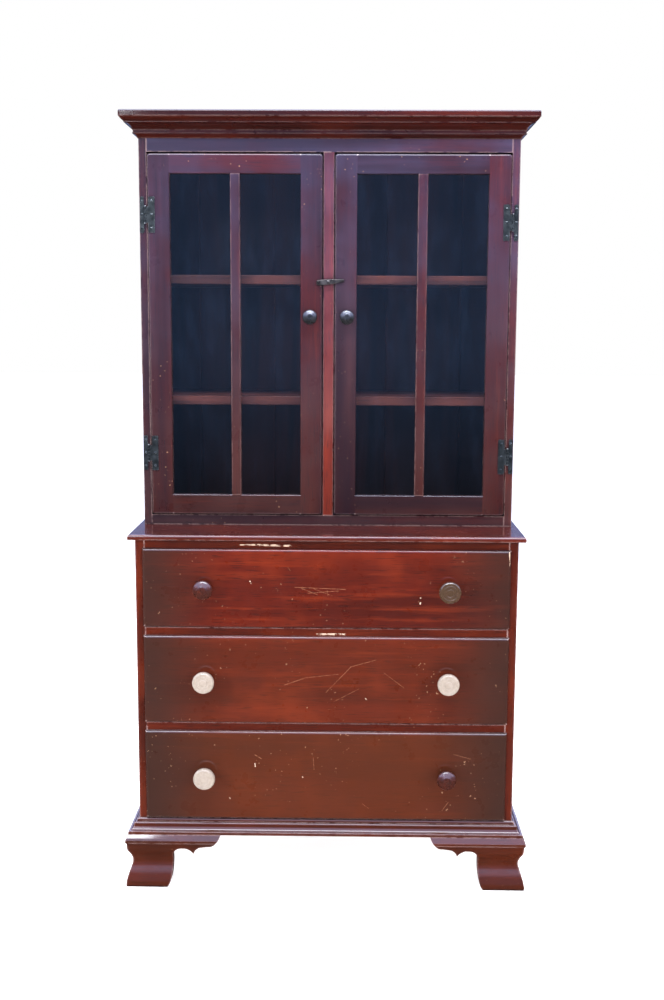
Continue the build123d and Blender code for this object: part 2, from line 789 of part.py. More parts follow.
def door(side, hinge_pieces):
    """One glazed door with its knob and its hinge leaves."""
    place = (lambda shape: shape) if side == "left" else mirrored
    blank = door_blank()
    knob_x_left = -door_knob_x
    blank -= tenon_hole(knob_x_left, door_front, door_knob_z)
    x0 = -door_outer + stile_width
    x1 = -door_inner - stile_width
    sight_low = door_bottom + door_bottom_rail
    sight_high = door_top - door_top_rail
    far = 1.0

    def member(left, right, low, high):
        return blank & block(left, right, door_front - far, door_back + far, low, high)

    left_stile = member(-door_outer - far, x0, door_bottom - far, door_top + far)
    right_stile = member(x1, -door_inner + far, door_bottom - far, door_top + far)
    low_rail = member(x0, x1, door_bottom - far, sight_low)
    high_rail = member(x0, x1, sight_high, door_top + far)
    muntin = member(x0, x1, sight_low, sight_high)
    hinge_stile = place(left_stile)
    for cut in hinge_pieces["door_cuts"]:
        hinge_stile -= cut
    name = "door_" + side
    save(name + "_stiles", hinge_stile, place(right_stile))
    save(name + "_rails", place(low_rail), place(high_rail))
    save(name + "_muntin", place(muntin))
    panes, beads = glazing()
    save(name + "_glass", *[place(pane) for pane in panes])
    save(name + "_glazing_beads", *[place(bead) for bead in beads])
    dome = dome_knob(door_knob_radius, door_knob_projection)
    knob = tenoned(dome, knob_x_left, door_front, door_knob_z)
    save(name + "_knob", place(knob))
    save(name + "_hinge_leaves", *hinge_pieces["door_leaves"], *hinge_pieces["door_screws"])


# ---------------------------------------------------------------- turn button

def button_fittings():
    """Screw of the turn button: shank in the mullion, domed slotted head in front."""
    front_y = door_front - button_gap - button_thickness
    with BuildSketch(Plane.XY) as section:
        with BuildLine():
            Polyline((0, -2.6), (0, 26), (button_screw_radius, 23), (button_screw_radius, -0.1),
                     (button_screw_head, -0.1), (button_screw_head, -0.9))
            ThreePointArc((button_screw_head, -0.9), (button_screw_head * 0.6, -2.2), (0, -2.6))
        make_face()
    return Pos(0, front_y, button_z) * revolve(section.sketch, Axis.Y, 360)


def turn_button():
    """Tapering bar with a thumb end, on a round boss that stands it clear of the doors."""
    back_y = door_front - button_gap
    plane = Plane(origin=(0, back_y, 0), x_dir=(1, 0, 0), z_dir=(0, -1, 0))
    ends = [(0, 6.6), (button_long_arm - 3.4, 3.4), (6.4 - button_short_arm, 6.4)]
    with BuildSketch(plane) as outline:
        for x, radius in ends:
            with Locations((x, 0)):
                Circle(radius)
        make_hull()
    bar = extrude(outline.sketch, amount=button_thickness)
    front_y = back_y - button_thickness
    bar = fillet(edges_at(bar, Axis.Y, front_y), 1.2)
    thumb = block(-button_short_arm + 1.2, -button_short_arm + 6.2, front_y - 4.5, front_y + 1, -5, 5)
    thumb = fillet(edges_at(thumb, Axis.Y, front_y - 4.5), 1.8)
    boss_back = upper_front - 0.3
    boss = Cylinder(button_boss_radius, boss_back - back_y)
    boss = Pos(0, (back_y + boss_back) / 2, 0) * Rot(90, 0, 0) * boss
    hole = Rot(90, 0, 0) * Cylinder(button_screw_radius + button_screw_clearance, 2 * case_depth)
    button = bar + thumb + boss - hole
    return Pos(0, 0, button_z) * Rot(0, -button_tilt, 0) * button


# ---------------------------------------------------------------- assembly

os.makedirs("parts", exist_ok=True)
chest()
drawers()
feet()
save("base_moulding", *mitred_run(base_profile, chest_front, back, base_moulding_reach))
save("waist_board", waist_board())
save("cornice_moulding", *mitred_run(cornice_profile, upper_front, back, cap_reach))
save("cornice_cap", cornice_cap())

left_hinges = hinges("left")
right_hinges = hinges("right")
fittings = button_fittings()
upper_case(left_hinges["frame_cuts"], right_hinges["frame_cuts"], fittings)
door("left", left_hinges)
door("right", right_hinges)
save("hinge_frame_leaves", *left_hinges["frame_leaves"], *right_hinges["frame_leaves"])
save("hinge_pins", *left_hinges["pins"], *right_hinges["pins"])
save("hinge_frame_screws", *left_hinges["frame_screws"], *right_hinges["frame_screws"])
slot_y = door_front - button_gap - button_thickness - 2.6
save("latch_screw", fittings - Pos(0, slot_y, button_z) * Rot(0, 40, 0) * Box(12, 1.8, 1.1))
save("latch_button", turn_button())
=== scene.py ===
import math
import bpy
from mathutils import Matrix, Vector


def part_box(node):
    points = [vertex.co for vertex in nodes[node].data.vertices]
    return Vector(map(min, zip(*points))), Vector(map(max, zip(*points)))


# Looks of the china cabinet: varnished mahogany, old glass, oxidised hinges and mixed knobs.
# Metres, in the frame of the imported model: the front looks along -Y, +Z is up.

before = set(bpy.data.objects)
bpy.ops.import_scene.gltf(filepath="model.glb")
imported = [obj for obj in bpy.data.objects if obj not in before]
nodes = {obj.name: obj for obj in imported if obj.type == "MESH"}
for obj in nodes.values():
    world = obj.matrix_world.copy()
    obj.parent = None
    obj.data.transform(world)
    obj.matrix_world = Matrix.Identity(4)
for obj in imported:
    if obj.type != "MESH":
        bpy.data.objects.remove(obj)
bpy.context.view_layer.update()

# The left flank and the two fronts that the mitred mouldings run round.
LEFT_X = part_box("chest_side_left")[0].x
CHEST_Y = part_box("chest_side_left")[0].y
UPPER_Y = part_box("upper_side_left")[0].y


# ---------------------------------------------------------------- node helpers

RAYS_PER_POINT = 4
EDGE_COSINES = (0.985, 0.88)     # of a rounded normal with the face's own: flat, then sharp
OPEN_SHARES = (0.80, 0.40)       # what a point sees of its surroundings: no painted shade or grime, then full painted shade and grime


class Tree:
    """A material's node tree, with short calls for the nodes used here."""

    def __init__(self, name):
        self.material = bpy.data.materials.new(name)
        self.material.use_nodes = True
        self.nodes = self.material.node_tree.nodes
        self.links = self.material.node_tree.links
        self.shader = self.nodes["Principled BSDF"]
        self.place = self.nodes.new("ShaderNodeTexCoord").outputs["Object"]

    def plug(self, value, socket):
        """Link an output, or set a plain value. None leaves the socket as it is."""
        if isinstance(value, bpy.types.NodeSocket):
            self.links.new(value, socket)
        elif value is not None:
            socket.default_value = value

    def math(self, operation, a, b=None, c=None):
        node = self.nodes.new("ShaderNodeMath")
        node.operation = operation
        for socket, value in zip(node.inputs, (a, b, c)):
            self.plug(value, socket)
        return node.outputs[0]

    def times(self, a, b):
        return self.math("MULTIPLY", a, b)

    def split(self):
        """The three coordinates of a point in the cabinet's frame."""
        node = self.nodes.new("ShaderNodeSeparateXYZ")
        self.plug(self.place, node.inputs[0])
        return node.outputs

    def scaled(self, vector, factors, offset=(0, 0, 0)):
        node = self.nodes.new("ShaderNodeVectorMath")
        node.operation = "MULTIPLY_ADD"
        self.plug(vector, node.inputs[0])
        self.plug(factors, node.inputs[1])
        self.plug(offset, node.inputs[2])
        return node.outputs[0]

    def shifted(self, vector, offset):
        """The vector moved by an offset, which gives a noise its own pattern."""
        return self.scaled(vector, (1, 1, 1), offset)

    def noise(self, vector, scale, detail=3.0, roughness=0.55, distortion=0.0):
        node = self.nodes.new("ShaderNodeTexNoise")
        for key, value in (("Vector", vector), ("Scale", scale), ("Detail", detail),
                           ("Roughness", roughness), ("Distortion", distortion)):
            self.plug(value, node.inputs[key])
        return node.outputs[0]

    def step(self, value, low, high, to_low=0.0, to_high=1.0):
        """A smooth step from to_low at low to to_high at high."""
        node = self.nodes.new("ShaderNodeMapRange")
        node.interpolation_type = "SMOOTHSTEP"
        for index, entry in enumerate((value, low, high, to_low, to_high)):
            self.plug(entry, node.inputs[index])
        return node.outputs[0]

    def mix(self, kind, factor, first, second):
        """A Mix node of a kind, "RGBA" or "VECTOR"."""
        suffix = {"RGBA": "_Color", "VECTOR": "_Vector"}[kind]
        node = self.nodes.new("ShaderNodeMix")
        node.data_type = kind
        sockets = {socket.identifier: socket for socket in node.inputs}
        self.plug(factor, sockets["Factor_Float"])
        self.plug(first, sockets["A" + suffix])
        self.plug(second, sockets["B" + suffix])
        return next(s for s in node.outputs if s.identifier == "Result" + suffix)

    def blend(self, factor, first, second):
        """A colour between two, each a socket or an (r, g, b) tuple."""
        first, second = ((*c, 1.0) if isinstance(c, tuple) else c for c in (first, second))
        return self.mix("RGBA", factor, first, second)

    def edge(self, radius):
        """Rises to 1 on edges and corners sharper than about this radius."""
        bevel = self.nodes.new("ShaderNodeBevel")
        bevel.samples = RAYS_PER_POINT
        bevel.inputs["Radius"].default_value = radius
        geometry = self.nodes.new("ShaderNodeNewGeometry")
        dot = self.nodes.new("ShaderNodeVectorMath")
        dot.operation = "DOT_PRODUCT"
        self.links.new(bevel.outputs[0], dot.inputs[0])
        self.links.new(geometry.outputs["Normal"], dot.inputs[1])
        return self.step(dot.outputs["Value"], *EDGE_COSINES)

    def crevice(self, distance):
        """Rises to 1 deep in corners and round whatever stands on a face, where shade falls."""
        node = self.nodes.new("ShaderNodeAmbientOcclusion")
        node.samples = RAYS_PER_POINT
        node.inputs["Distance"].default_value = distance
        return self.step(node.outputs["AO"], *OPEN_SHARES)

    def bump(self, height, strength, distance):
        node = self.nodes.new("ShaderNodeBump")
        node.inputs["Strength"].default_value = strength
        node.inputs["Distance"].default_value = distance
        self.plug(height, node.inputs["Height"])
        self.plug(node.outputs[0], self.shader.inputs["Normal"])

    def finish(self, colour, roughness, **others):
        """Feed the shader. In the names of its other sockets, _ stands for a space."""
        self.plug(colour, self.shader.inputs["Base Color"])
        self.plug(roughness, self.shader.inputs["Roughness"])
        for name, value in others.items():
            self.shader.inputs[name.replace("_", " ")].default_value = value
        return self.material


def strongest(t, masks):
    total = masks[0]
    for mask in masks[1:]:
        total = t.math("MAXIMUM", total, mask)
    return total


def multiplied(values, factor):
    return tuple(value * factor for value in values)


# ---------------------------------------------------------------- varnished wood

ALONG_GRAIN = 0.055
GRAIN = {
    "X": (ALONG_GRAIN, 1.0, 1.0),
    "Y": (1.0, ALONG_GRAIN, 1.0),
    "Z": (1.0, 1.0, ALONG_GRAIN),
}
SEED_SHIFT = (1.37, 2.11, 0.73)
MAHOGANY = ((0.030, 0.0042, 0.0024), (0.064, 0.0066, 0.0026), (0.140, 0.0170, 0.0040))
FADED_BROWN = (0.066, 0.0175, 0.0060)
# Colour of the painted shade, with grime, in corners and round what stands on a face.
SHADE_AND_GRIME = (0.011, 0.007, 0.006)
# Heights over which the painted sky sheen grows bluer and stronger.
SKY_SHEEN_HEIGHTS = (1.0, 1.8)


def grain_vector(t, direction, seed, front_y=None):
    """Coordinates drawn out along the grain. "mitre" turns the corner at front_y."""
    offset = multiplied(SEED_SHIFT, seed)
    if direction != "mitre":
        return t.scaled(t.place, GRAIN[direction], offset)
    x, y, _ = t.split()
    past_side = t.math("SUBTRACT", t.math("ABSOLUTE", x), -LEFT_X)
    past_front = t.math("SUBTRACT", front_y, y)
    on_front = t.math("GREATER_THAN", past_front, past_side)
    along_x = t.scaled(t.place, GRAIN["X"], offset)
    along_y = t.scaled(t.place, GRAIN["Y"], offset)
    return t.mix("VECTOR", on_front, along_y, along_x)


def figured(t, along, pores, cloud, shade):
    """The wood's own colour: broad figure, brighter streaks and clouds, dark pores."""
    dark, middle, bright = (multiplied(tone, shade) for tone in MAHOGANY)
    figure = t.noise(along, 9.0, detail=4.0, roughness=0.6, distortion=1.2)
    streaks = t.noise(along, 60.0, detail=3.0, roughness=0.65)
    colour = t.blend(t.step(figure, 0.28, 0.68), dark, middle)
    colour = t.blend(t.times(t.step(streaks, 0.5, 0.75), 0.42), colour, bright)
    colour = t.blend(t.times(t.step(cloud, 0.45, 0.7), 0.45), colour, bright)
    pore_colour = (0.014, 0.006, 0.005)
    return t.blend(t.times(t.step(pores, 0.56, 0.68), 0.55), colour, pore_colour)


def dark_ends(t, colour, cloud, middle, half):
    """The left and right ends of a panel gone dark, with a cloudy border."""
    x, _, _ = t.split()
    across = t.math("DIVIDE", t.math("ABSOLUTE", t.math("SUBTRACT", x, middle)), half)
    across = t.math("MULTIPLY_ADD", t.math("SUBTRACT", cloud, 0.5), 0.35, across)
    return t.blend(t.step(across, 0.50, 1.02, 0.0, 0.85), colour, (0.026, 0.0125, 0.0090))


def sky_sheen_and_patches(t, colour, along, cloud, seed, shade, cool):
    """A painted purplish sky sheen, bluer and stronger higher up, and darker patches along the
    grain.
    """
    _, _, z = t.split()
    sky_sheen_low = multiplied((0.029, 0.025, 0.026), shade)
    sky_sheen_high = multiplied((0.029, 0.032, 0.064), shade)
    sky_sheen = t.blend(t.step(z, *SKY_SHEEN_HEIGHTS), sky_sheen_low, sky_sheen_high)
    sky_sheen_mask = t.times(t.step(cloud, 0.30, 0.68, 0.25, 1.0), t.step(z, *SKY_SHEEN_HEIGHTS, 0.7, 1.0))
    colour = t.blend(t.times(sky_sheen_mask, cool), colour, sky_sheen)
    darker = t.noise(t.shifted(along, (seed, 0, 3.0)), 7.0, detail=4.0, roughness=0.6)
    return t.blend(t.step(darker, 0.44, 0.68, 0.0, 0.8), colour, (0.012, 0.007, 0.011))


def near_outline(t, corners):
    """1 within about 4 mm of the outline of a framed door, so that its joints stay free of wear
    and painted highlight lines.
    """
    fades, solid = 0.005, 0.0035
    x, _, z = t.split()
    low, high = corners
    masks = []
    for place, start, end in ((x, low.x, high.x), (z, low.z, high.z)):
        away = t.math("ABSOLUTE", t.math("SUBTRACT", place, (start + end) / 2))
        half = (end - start) / 2
        masks.append(t.step(away, half - fades, half - solid))
    return strongest(t, masks)


def worn_and_highlit_edges(t, outline):
    """Where edges have lost their varnish and are lightened as painted highlight lines, and the
    colour there.
    """
    rub = t.noise(t.place, 38.0, detail=4.0, roughness=0.7)
    edge = t.edge(0.0045)
    # Wear on the edges, lightened further into painted highlight lines, most on a door's
    # outline.
    if outline:
        worn = t.times(edge, t.step(rub, 0.32, 0.48))
        return t.times(worn, near_outline(t, outline)), (0.46, 0.35, 0.33)
    return t.times(edge, t.step(rub, 0.36, 0.52)), (0.42, 0.28, 0.25)


def specked(t, colour, seed, wear):
    """Small pale specks, gathered in places."""
    specks = t.noise(t.place, 170.0, detail=1.0, roughness=0.4)
    gathered = t.noise(t.shifted(t.place, (0, seed, 0)), 7.0, detail=2.0, roughness=0.5)
    speck = t.times(t.step(specks, 0.755, 0.785), t.step(gathered, 0.48, 0.62))
    return t.blend(t.times(speck, 0.75 * wear), colour, (0.40, 0.22, 0.12))


def segment(t, x, z, start, end, half_width):
    """Fades in from half_width to the line between two points of the front, (x, z) each."""
    solid_share = 0.4
    (ax, az), (bx, bz) = start, end
    dx, dz = bx - ax, bz - az
    length_squared = dx * dx + dz * dz
    px = t.math("SUBTRACT", x, ax)
    pz = t.math("SUBTRACT", z, az)
    along = t.math("MULTIPLY_ADD", px, dx / length_squared, t.times(pz, dz / length_squared))
    along = t.math("MINIMUM", t.math("MAXIMUM", along, 0.0), 1.0)
    off_x = t.math("MULTIPLY_ADD", along, -dx, px)
    off_z = t.math("MULTIPLY_ADD", along, -dz, pz)
    squared = t.math("MULTIPLY_ADD", off_x, off_x, t.times(off_z, off_z))
    return t.step(t.math("SQRT", squared), half_width, half_width * solid_share)


def marked(t, colour, scratches, chips):
    """Scratches as thin broken lines, and chips as ragged flakes down to pale wood."""
    x, _, z = t.split()
    ragged = t.noise(t.scaled(t.place, (0.45, 1.0, 1.0)), 190.0, detail=5.0, roughness=0.75)
    if scratches:
        cuts = strongest(t, [segment(t, x, z, *mark) for mark in scratches])
        cuts = t.times(cuts, t.step(ragged, 0.36, 0.52))
        colour = t.blend(t.times(cuts, 0.7), colour, (0.36, 0.15, 0.075))
    if chips:
        flakes = strongest(t, [segment(t, x, z, *mark) for mark in chips])
        torn = t.math("MULTIPLY_ADD", ragged, 5.0, -1.5)
        flakes = t.step(t.times(flakes, torn), 0.75, 0.9)
        colour = t.blend(flakes, colour, (0.58, 0.42, 0.30))
    return colour


def mahogany(name, direction, seed, shade=1.0, cool=0.0, brown=0.0, wear=0.5, front_y=CHEST_Y,
             burst=None, scratches=(), chips=(), outline=None):
    """Red mahogany under old glossy varnish.

    shade scales the wood's brightness and its painted sky sheen, cool is the strength of the
    painted purplish sky sheen, and brown is how far the red has faded to brown. burst is the
    (middle, half length) of a panel whose ends have gone dark. scratches and chips are lists of
    (start, end, half width) on the front. outline is the box of the door that the piece frames:
    only its edges are rubbed and lightened as painted highlight lines.
    """
    t = Tree(name)
    along = grain_vector(t, direction, seed, front_y)
    pores = t.noise(along, 420.0, detail=2.0, roughness=0.5)
    cloud = t.noise(t.shifted(t.place, (seed, 0, seed)), 4.5, detail=3.0, roughness=0.55)
    colour = figured(t, along, pores, cloud, shade)
    if brown:
        colour = t.blend(brown, colour, FADED_BROWN)
    if burst:
        colour = dark_ends(t, colour, cloud, *burst)
    # Painted purplish sheen standing in for the sky's reflection, stronger higher up.
    if cool:
        colour = sky_sheen_and_patches(t, colour, along, cloud, seed, shade, cool)
    # Painted shade with grime: darker deep in corners and round whatever stands on a face.
    colour = t.blend(t.times(t.crevice(0.022), 0.8), colour, SHADE_AND_GRIME)
    # Worn edges, lightened as painted highlight lines.
    worn, rubbed = worn_and_highlit_edges(t, outline)
    colour = t.blend(t.times(worn, wear), colour, rubbed)
    colour = specked(t, colour, seed, wear)
    if scratches or chips:
        colour = marked(t, colour, scratches, chips)

    smear = t.noise(t.shifted(t.place, (seed, seed, 0)), 16.0, detail=4.0, roughness=0.65)
    roughness = t.math("MAXIMUM", t.step(smear, 0.3, 0.75, 0.26, 0.46), t.times(worn, 0.6))
    t.bump(t.math("MULTIPLY_ADD", pores, -0.5, t.times(smear, 0.8)), 0.16, 0.0006)
    return t.finish(colour, roughness, Specular_IOR_Level=0.08, Coat_Weight=1.0,
                    Coat_Roughness=0.07, Coat_IOR=1.5)


# ---------------------------------------------------------------- unvarnished wood

PINE = ((0.075, 0.040, 0.020), (0.160, 0.092, 0.046))
POPLAR = ((0.150, 0.095, 0.047), (0.290, 0.195, 0.105))


def ringed(t, along, dark, light):
    """Growth rings of a softwood: their pattern and their colour."""
    rings = t.noise(along, 44.0, detail=5.0, roughness=0.6, distortion=0.6)
    return rings, t.blend(t.step(rings, 0.3, 0.7), light, dark)


def bare_wood(name, direction, seed, dark, light):
    """Unvarnished wood, browned with age, with grime in the grain."""
    t = Tree(name)
    along = grain_vector(t, direction, seed)
    rings, colour = ringed(t, along, dark, light)
    fine = t.noise(along, 260.0, detail=2.0, roughness=0.6)
    stain = t.noise(t.shifted(t.place, (seed, 0, 0)), 5.0, detail=4.0, roughness=0.6)
    colour = t.blend(t.times(t.step(fine, 0.5, 0.7), 0.35), colour, dark)
    stain_colour = (0.065, 0.038, 0.021)
    colour = t.blend(t.times(t.step(stain, 0.5, 0.75), 0.5), colour, stain_colour)
    t.bump(t.math("ADD", rings, t.times(fine, 0.6)), 0.25, 0.0008)
    return t.finish(colour, t.step(stain, 0.3, 0.7, 0.62, 0.82))


def interior_wood(name, direction, seed, red, bare_from=None):
    """Dark stained boards inside the upper case, dusty and nearly dull. red lifts the stain.

    Behind bare_from, a depth along Y, the wood was never stained.
    """
    t = Tree(name)
    along = grain_vector(t, direction, seed)
    figure = t.noise(along, 14.0, detail=4.0, roughness=0.6, distortion=1.0)
    fine = t.noise(along, 240.0, detail=2.0, roughness=0.6)
    dust = t.noise(t.place, 12.0, detail=4.0, roughness=0.65)
    dark = multiplied((0.022, 0.008, 0.0065), red)
    light = multiplied((0.070, 0.020, 0.0135), red)
    colour = t.blend(t.step(figure, 0.35, 0.65), dark, light)
    colour = t.blend(t.times(t.step(fine, 0.52, 0.7), 0.5), colour, (0.012, 0.007, 0.006))
    worn = t.times(t.edge(0.002), t.step(dust, 0.4, 0.6))
    colour = t.blend(t.times(worn, 0.35), colour, (0.16, 0.05, 0.03))
    if bare_from:
        _, bare = ringed(t, along, *PINE)
        bare = t.blend(t.times(t.step(dust, 0.45, 0.7), 0.5), bare, (0.055, 0.032, 0.018))
        _, y, _ = t.split()
        colour = t.blend(t.math("GREATER_THAN", y, bare_from), colour, bare)
    t.bump(t.math("ADD", figure, fine), 0.2, 0.0006)
    return t.finish(colour, t.step(dust, 0.3, 0.7, 0.38, 0.62), Specular_IOR_Level=0.2)


# ---------------------------------------------------------------- knobs, metal, glass

KNOB_RADIUS = 0.025
RING_PITCH = 0.0014


def knob_rings(t, centre):
    """Distance from a knob's axis, which runs along Y, as a share of its radius; lathe rings."""
    x, _, z = t.split()
    dx = t.math("SUBTRACT", x, centre.x)
    dz = t.math("SUBTRACT", z, centre.z)
    reach = t.math("SQRT", t.math("MULTIPLY_ADD", dx, dx, t.times(dz, dz)))
    rings = t.math("SINE", t.times(reach, 2 * math.pi / RING_PITCH))
    return t.math("DIVIDE", reach, KNOB_RADIUS), rings


def knob_wood(name, centre, dark, light, rim, rim_wear, gloss, faded=None):
    """A turned knob: fine end grain, lathe rings, and a rim rubbed by hands.

    faded is the colour of the right-hand knob of a pair, where it differs.
    """
    t = Tree(name)
    reach, rings = knob_rings(t, centre)
    grain = t.noise(t.scaled(t.place, (1.0, 0.2, 0.8)), 170.0, detail=3.0, roughness=0.6)
    blotch = t.noise(t.place, 55.0, detail=4.0, roughness=0.65)
    colour = t.blend(t.step(grain, 0.2, 0.8), dark, light)
    colour = t.blend(t.times(t.step(blotch, 0.5, 0.7), 0.3), colour, dark)
    colour = t.blend(t.times(t.step(rings, 0.3, 1.0), 0.10), colour, dark)
    if faded:
        x, _, _ = t.split()
        colour = t.blend(t.step(x, -0.01, 0.01, 0.0, 0.85), colour, faded)
    rubbed = t.times(t.edge(0.0018), t.step(blotch, 0.42, 0.6))
    colour = t.blend(t.times(rubbed, rim_wear), colour, rim)
    # Darker towards the knob's axis.
    darker_near_axis = t.step(reach, 0.55, 0.35, 0.0, 0.25)
    colour = t.blend(t.times(darker_near_axis, t.step(blotch, 0.4, 0.65)), colour, dark)
    t.bump(t.math("MULTIPLY_ADD", rings, 0.35, grain), 0.12, 0.00025)
    return t.finish(colour, t.step(blotch, 0.3, 0.7, *gloss), Coat_Weight=0.7,
                    Coat_Roughness=0.14)


def old_metal(name, dark, light, bright, seed, gloss=(0.34, 0.6)):
    """Oxidised metal, hammered a little and rubbed bright on its edges."""
    t = Tree(name)
    place = t.shifted(t.place, (seed, seed, seed))
    patches = t.noise(place, 75.0, detail=4.0, roughness=0.55)
    hammer = t.noise(place, 420.0, detail=2.0, roughness=0.5)
    pits = t.noise(place, 1400.0, detail=2.0, roughness=0.5)
    colour = t.blend(t.step(patches, 0.25, 0.75), dark, light)
    rubbed = t.times(t.edge(0.0007), t.step(patches, 0.35, 0.55))
    colour = t.blend(rubbed, colour, bright)
    colour = t.blend(t.times(t.step(pits, 0.62, 0.7), 0.6), colour, (0.045, 0.026, 0.017))
    roughness = t.math("MULTIPLY_ADD", rubbed, -0.18, t.step(patches, 0.3, 0.7, *gloss))
    t.bump(t.math("ADD", hammer, t.times(pits, 0.3)), 0.25, 0.0003)
    return t.finish(colour, roughness, Metallic=0.85)


def old_glass(name):
    """Thin drawn glass, slightly wavy and smeared.

    A pane this thin bends next to nothing, so what it doesn't mirror goes straight through.
    """
    face_on, grazing, sharpness = 0.045, 0.9, 5.0
    t = Tree(name)
    waves = t.noise(t.scaled(t.place, (1.0, 1.0, 0.45)), 7.0, detail=2.0, roughness=0.4)
    smears = t.noise(t.scaled(t.place, (1.0, 1.0, 0.3)), 30.0, detail=5.0, roughness=0.7)
    facing = t.nodes.new("ShaderNodeLayerWeight").outputs["Facing"]
    mirrored = t.math("MULTIPLY_ADD", t.math("POWER", facing, sharpness), grazing, face_on)
    mirrored = t.math("ADD", mirrored, t.step(smears, 0.45, 0.75, 0.0, 0.03))
    t.plug(mirrored, t.shader.inputs["Alpha"])
    t.bump(waves, 0.08, 0.002)
    return t.finish((0.88, 0.93, 0.96, 1.0), t.step(smears, 0.4, 0.8, 0.02, 0.16), Metallic=1.0)


# ---------------------------------------------------------------- marks of use

# Each mark runs from (x, z) to (x, z) about the middle of its piece, and has a half width.
DRAWER_SCRATCHES = {
    "drawer_top_front": [
        (-0.075, 0.004, 0.046, 0.000, 0.0006), (-0.060, 0.002, -0.020, -0.014, 0.0005),
        (-0.044, -0.010, 0.030, -0.004, 0.0005), (-0.030, 0.001, 0.014, -0.016, 0.0004),
        (0.002, -0.003, 0.004, -0.016, 0.0004), (-0.092, 0.053, -0.086, 0.045, 0.0005),
    ],
    "drawer_middle_front": [
        (-0.100, -0.012, -0.050, 0.006, 0.0006), (-0.052, 0.006, 0.030, 0.016, 0.0005),
        (0.000, -0.030, 0.060, 0.034, 0.0005), (0.058, 0.034, 0.120, 0.052, 0.0005),
        (0.020, -0.052, 0.080, -0.020, 0.0004), (0.140, 0.020, 0.190, -0.018, 0.0004),
    ],
    "drawer_bottom_front": [
        (-0.172, 0.052, -0.156, 0.042, 0.0007), (-0.030, 0.046, -0.028, 0.016, 0.0006),
        (0.285, -0.086, 0.300, -0.064, 0.0007), (0.090, -0.070, 0.106, -0.082, 0.0005),
        (0.310, 0.058, 0.352, 0.046, 0.0004),
    ],
}
DRAWER_CHIPS = {
    "drawer_top_front": [
        (-0.182, 0.018, -0.180, 0.013, 0.0022), (0.225, -0.017, 0.225, -0.020, 0.0026),
        (0.225, -0.030, 0.224, -0.036, 0.0024), (0.434, 0.092, 0.436, 0.060, 0.0016),
    ],
    "drawer_middle_front": [(0.096, -0.044, 0.098, -0.046, 0.0018)],
    "drawer_bottom_front": [
        (-0.172, 0.030, -0.171, 0.022, 0.0018), (-0.234, -0.058, -0.233, -0.060, 0.0018),
        (-0.056, -0.003, -0.055, -0.004, 0.0018),
    ],
}
RAIL_CHIPS = {
    "chest_top_rail": [
        (-0.205, 0.0005, -0.168, 0.001, 0.0022), (-0.176, 0.001, -0.085, -0.001, 0.0036),
    ],
    "chest_divider_rails": [
        (-0.022, 0.1150, 0.046, 0.1158, 0.0036), (-0.010, 0.1090, 0.012, 0.1095, 0.0018),
    ],
}


def marks_on(node, table):
    """A piece's marks as (start, end, half width), put where the piece stands."""
    low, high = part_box(node)
    mid_x = (low.x + high.x) / 2
    mid_z = (low.z + high.z) / 2
    placed = []
    for x0, z0, x1, z1, half_width in table.get(node, []):
        placed.append(((mid_x + x0, mid_z + z0), (mid_x + x1, mid_z + z1), half_width))
    return placed


# ---------------------------------------------------------------- giving each node its finish

CHEST_BOARD = {"shade": 1.15, "brown": 0.15, "wear": 0.75}
CHEST_FOOTING = {"shade": 0.7, "brown": 0.4, "wear": 0.5}
UPPER_BOARD = {"shade": 0.9, "cool": 0.9, "wear": 0.5}
# The upper sides' higher shade is painted light from the sky on them.
UPPER_SIDE = dict(UPPER_BOARD, shade=1.25)
# The fascia's high shade paints a brighter wood and a stronger sky sheen and reflection on it.
FASCIA = dict(UPPER_BOARD, shade=2.3)
CORNICE = {"shade": 0.5, "wear": 0.15, "front_y": UPPER_Y}
DOOR = {"shade": 0.95, "cool": 0.85}

CHEST_WOOD = (
    ("chest_side_left", "Z", CHEST_BOARD), ("chest_side_right", "Z", CHEST_BOARD),
    ("chest_top_rail", "X", CHEST_BOARD), ("chest_bottom_rail", "X", CHEST_BOARD),
    ("chest_divider_rails", "X", CHEST_BOARD), ("waist_board", "X", CHEST_BOARD),
    ("base_moulding", "mitre", CHEST_FOOTING), ("foot_front_left", "mitre", CHEST_FOOTING),
    ("foot_front_right", "mitre", CHEST_FOOTING), ("foot_rear_left", "mitre", CHEST_FOOTING),
    ("foot_rear_right", "mitre", CHEST_FOOTING),
)
UPPER_WOOD = (
    ("upper_side_left", "Z", UPPER_SIDE), ("upper_side_right", "Z", UPPER_SIDE),
    ("upper_top_rail", "X", FASCIA), ("upper_bottom_rail", "X", UPPER_BOARD),
    ("cornice_moulding", "mitre", CORNICE), ("cornice_cap", "X", CORNICE),
)
DRAWERS = ("drawer_top", "drawer_middle", "drawer_bottom")


def assign(node, material):
    nodes[node].data.materials.clear()
    nodes[node].data.materials.append(material)


def dress_case():
    """Every varnished board of the case. Its seed gives it its own figure."""
    for index, (node, direction, look) in enumerate(CHEST_WOOD):
        chips = marks_on(node, RAIL_CHIPS)
        assign(node, mahogany(node, direction, 3.0 + index, chips=chips, **look))
    for index, (node, direction, look) in enumerate(UPPER_WOOD):
        assign(node, mahogany(node, direction, 51.0 + index, **look))
    mullion = mahogany("centre_mullion", "Z", 61.0, shade=2.15, cool=0.5, wear=0.4)
    assign("centre_mullion", mullion)


